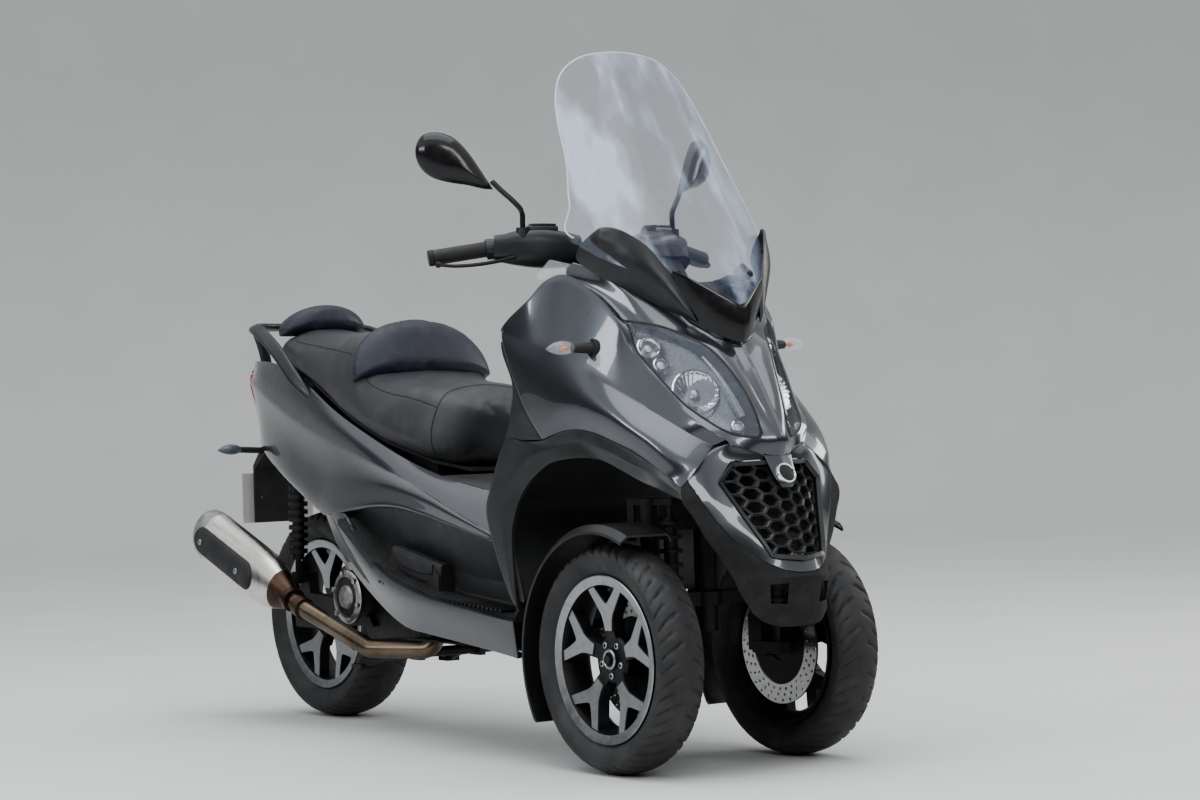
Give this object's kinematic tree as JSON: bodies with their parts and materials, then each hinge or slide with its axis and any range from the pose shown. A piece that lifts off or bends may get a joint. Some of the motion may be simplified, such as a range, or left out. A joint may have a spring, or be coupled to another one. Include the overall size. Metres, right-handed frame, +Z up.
{
  "type": "three-wheel scooter",
  "caption": "Step-through scooter with paired tilting front wheels, tall clear screen, honeycomb nose grille, long stepped seat and a side silencer; steers, rolls, lifts its seat and stands",
  "frame": {"origin": "On the ground under the middle of the overall length and width.", "axes": "The scooter faces -Y, +X is its left and +Z is up."},
  "size_m": [0.8216, 2.205, 1.5499],
  "materials": {
    "paint": "gloss metallic",
    "trim": "satin",
    "black_metal": "satin",
    "black_gloss": "gloss",
    "lens": "clear",
    "reflector": "polished",
    "tail_red": "gloss",
    "alloy": "satin",
    "dark_alloy": "satin, spoke faces machined",
    "steel": "brushed",
    "pipe": "heat stained",
    "seat": "grained",
    "rubber": "matt",
    "tyre": "dusty",
    "plate": "blank, satin"
  },
  "bodies": {
    "chassis": {"arch_trims": "trim", "belly_pan": "trim", "chin": "trim", "deflectors": "black_gloss", "drive_case": "alloy", "engine": "alloy", "exhaust_pipe": "pipe", "floor_tunnel": "trim", "footboards": "trim", "frame": "black_metal", "front_panels": "paint", "grab_rails": "black_metal", "grille": "black_gloss", "grille_carrier": "paint", "headlamp_lenses": "lens", "headlamp_reflectors": "reflector", "indicator_lenses": "lens", "indicator_stalks": "trim", "instruments": "trim", "leg_shield": "trim", "mudguard": "trim", "nose_cowl": "paint", "number_plate": "plate", "rear_arm": "alloy", "rear_body": "paint", "rear_shocks": "black_metal", "silencer": "steel", "silencer_shield": "black_metal", "sills": "paint", "storage_tub": "trim", "tail_lamp": "tail_red", "tilt_linkage": "black_metal", "windscreen": "lens"},
    "steering": {"handlebar": "black_metal", "grips": "rubber", "control_covers": "trim", "brake_levers": "black_metal", "mirrors": "black_gloss"},
    "knuckle_right_side": {"knuckle_right": "black_metal", "damper_right": "black_metal", "fender_right": "trim"},
    "knuckle_left_side": {"knuckle_left": "black_metal", "damper_left": "black_metal", "fender_left": "trim"},
    "wheel_right": {"tyre_right": "tyre", "rim_right": "dark_alloy", "disc_right": "steel"},
    "wheel_left": {"tyre_left": "tyre", "rim_left": "dark_alloy", "disc_left": "steel"},
    "wheel_rear": {"tyre_rear": "tyre", "rim_rear": "dark_alloy", "disc_rear": "steel"},
    "seat": {"seat_base": "trim", "seat_cushion": "seat", "seat_bolsters": "seat"},
    "stand": {"centre_stand": "black_metal"}
  },
  "joints": [
    {"name": "steering_turn", "type": "hinge", "parent": "chassis", "child": "steering", "pos_m": [0, -0.6975, 0.56], "axis": [0, 0.4411, 0.8975], "range_deg": [-30, 30]},
    {"name": "kingpin_right", "type": "hinge", "parent": "chassis", "child": "knuckle_right_side", "pos_m": [-0.145, -0.7575, 0.44], "axis": [0, 0, 1], "range_deg": [-30, 30]},
    {"name": "kingpin_left", "type": "hinge", "parent": "chassis", "child": "knuckle_left_side", "pos_m": [0.145, -0.7575, 0.44], "axis": [0, 0, 1], "range_deg": [-30, 30]},
    {"name": "wheel_right_spin", "type": "hinge", "parent": "knuckle_right_side", "child": "wheel_right", "pos_m": [-0.2325, -0.7575, 0.242], "axis": [1, 0, 0], "continuous": true},
    {"name": "wheel_left_spin", "type": "hinge", "parent": "knuckle_left_side", "child": "wheel_left", "pos_m": [0.2325, -0.7575, 0.242], "axis": [1, 0, 0], "continuous": true},
    {"name": "wheel_rear_spin", "type": "hinge", "parent": "chassis", "child": "wheel_rear", "pos_m": [0, 0.7925, 0.262], "axis": [1, 0, 0], "continuous": true},
    {"name": "seat_lift", "type": "hinge", "parent": "chassis", "child": "seat", "pos_m": [0, 0.0205, 0.628], "axis": [1, 0, 0], "range_deg": [0, 65]},
    {"name": "stand_swing", "type": "hinge", "parent": "chassis", "child": "stand", "pos_m": [0, 0.2825, 0.19], "axis": [1, 0, 0], "range_deg": [-95, 0], "stiffness_Nm_per_rad": 6, "springref_deg": 68.75}
  ],
  "couplings": [
    {"joint": "kingpin_right", "follows": "steering_turn", "ratio": 1},
    {"joint": "kingpin_left", "follows": "steering_turn", "ratio": 1}
  ]
}
